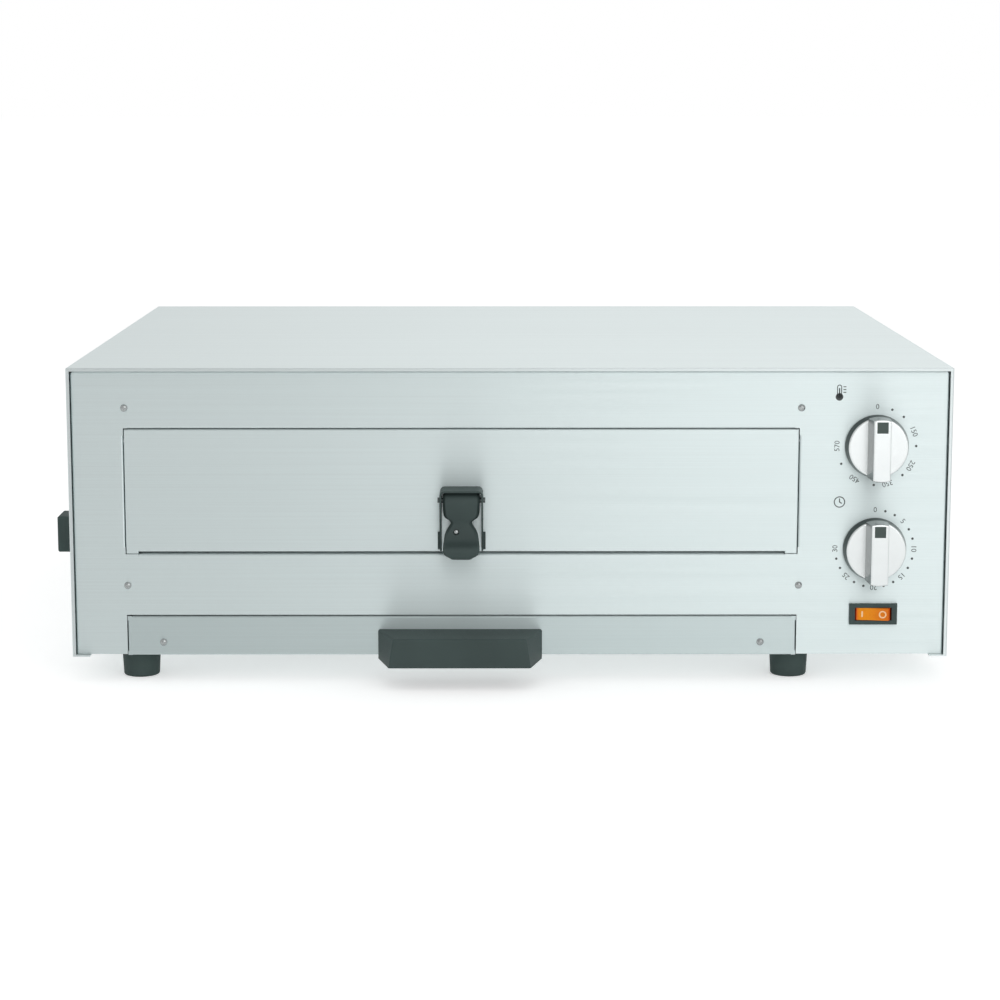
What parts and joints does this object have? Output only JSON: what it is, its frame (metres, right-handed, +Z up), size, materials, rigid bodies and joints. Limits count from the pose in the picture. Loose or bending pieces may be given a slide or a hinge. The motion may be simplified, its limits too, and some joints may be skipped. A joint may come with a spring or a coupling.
{
  "type": "electric countertop pizza oven",
  "caption": "Low stainless countertop pizza oven with a top-hinged flap door, pull-out crumb tray, two dials, a rocker switch and rubber feet.",
  "frame": {"origin": "on the floor plane under the feet, at the middle of the overall width and depth", "axes": "+X to the right seen from the front, +Y from the front to the back, +Z up"},
  "size_m": [0.6168, 0.528, 0.2165],
  "materials": {
    "casing_steel": "brushed",
    "panel_steel": "brushed",
    "door_steel": "brushed",
    "bracket_steel": "bright",
    "liner_steel": "aluminised",
    "wire_chrome": "plated",
    "element_sheath": "oxidised",
    "terminal_steel": "plated",
    "ceramic": "glazed",
    "insulation": "fibre board",
    "screw_steel": "plated",
    "rubber": "matt",
    "black_plastic": "satin",
    "control_plastic": "moulded",
    "copper_line": "drawn",
    "wire_cover": "braided",
    "knob_chrome": "plated",
    "knob_mark": "satin",
    "shaft_steel": "turned",
    "rocker_orange": "translucent"
  },
  "bodies": {
    "oven": {"outer_wrap": "casing_steel", "rear_panel": "casing_steel", "base_pan": "casing_steel", "front_panel": "panel_steel", "liner_shell": "liner_steel", "liner_back": "liner_steel", "door_sill": "liner_steel", "heat_shield": "liner_steel", "rack_ledges": "liner_steel", "tray_runners": "liner_steel", "door_stops": "liner_steel", "element_clips": "liner_steel", "hinge_clips": "liner_steel", "oven_rack": "wire_chrome", "hinge_rod": "wire_chrome", "upper_element": "element_sheath", "lower_element": "element_sheath", "element_terminals": "terminal_steel", "switch_terminals": "terminal_steel", "element_bushes": "ceramic", "top_insulation": "insulation", "left_insulation": "insulation", "panel_screws": "screw_steel", "casing_screws": "screw_steel", "rear_screws": "screw_steel", "control_screws": "screw_steel", "foot_screws": "screw_steel", "foot_front_left": "rubber", "foot_front_right": "rubber", "foot_rear_left": "rubber", "foot_rear_right": "rubber", "side_bumper_front": "rubber", "side_bumper_rear": "rubber", "cord_gland": "rubber", "switch_body": "black_plastic", "thermostat_body": "control_plastic", "timer_body": "control_plastic", "terminal_block": "control_plastic", "thermostat_bulb": "copper_line", "wiring": "wire_cover"},
    "door": {"door_skin": "door_steel", "door_baffle": "liner_steel", "handle_bracket": "black_plastic", "bracket_plate": "bracket_steel", "bracket_rivets": "screw_steel", "grip_pin": "wire_chrome"},
    "grip": {"door_grip": "black_plastic", "grip_screw": "screw_steel"},
    "tray": {"tray_pan": "liner_steel", "tray_front": "door_steel", "tray_screws": "screw_steel", "tray_pull": "black_plastic", "pull_screws": "screw_steel"},
    "temperature_dial": {"temperature_knob": "knob_chrome", "temperature_marker": "knob_mark", "temperature_shaft": "shaft_steel"},
    "timer_dial": {"timer_knob": "knob_chrome", "timer_marker": "knob_mark", "timer_shaft": "shaft_steel"},
    "power_rocker": {"switch_rocker": "rocker_orange"}
  },
  "joints": [
    {"name": "door_hinge", "type": "hinge", "parent": "oven", "child": "door", "pos_m": [-0.02525, -0.2294, 0.1664], "axis": [-1, 0, 0], "range_deg": [0, 105]},
    {"name": "grip_swing", "type": "hinge", "parent": "door", "child": "grip", "pos_m": [-0.02525, -0.247, 0.128], "axis": [-1, 0, 0], "range_deg": [0, 50]},
    {"name": "tray_slide", "type": "slide", "parent": "oven", "child": "tray", "axis": [0, -1, 0], "range_m": [0, 0.38]},
    {"name": "temperature_turn", "type": "hinge", "parent": "oven", "child": "temperature_dial", "pos_m": [0.25665, -0.233, 0.1628], "axis": [0, 1, 0], "range_deg": [0, 270]},
    {"name": "timer_turn", "type": "hinge", "parent": "oven", "child": "timer_dial", "pos_m": [0.25665, -0.233, 0.09204], "axis": [0, 1, 0], "range_deg": [0, 270]},
    {"name": "switch_rock", "type": "hinge", "parent": "oven", "child": "power_rocker", "pos_m": [0.25665, -0.23, 0.0468], "axis": [0, 0, 1], "range_deg": [0, 16]}
  ]
}
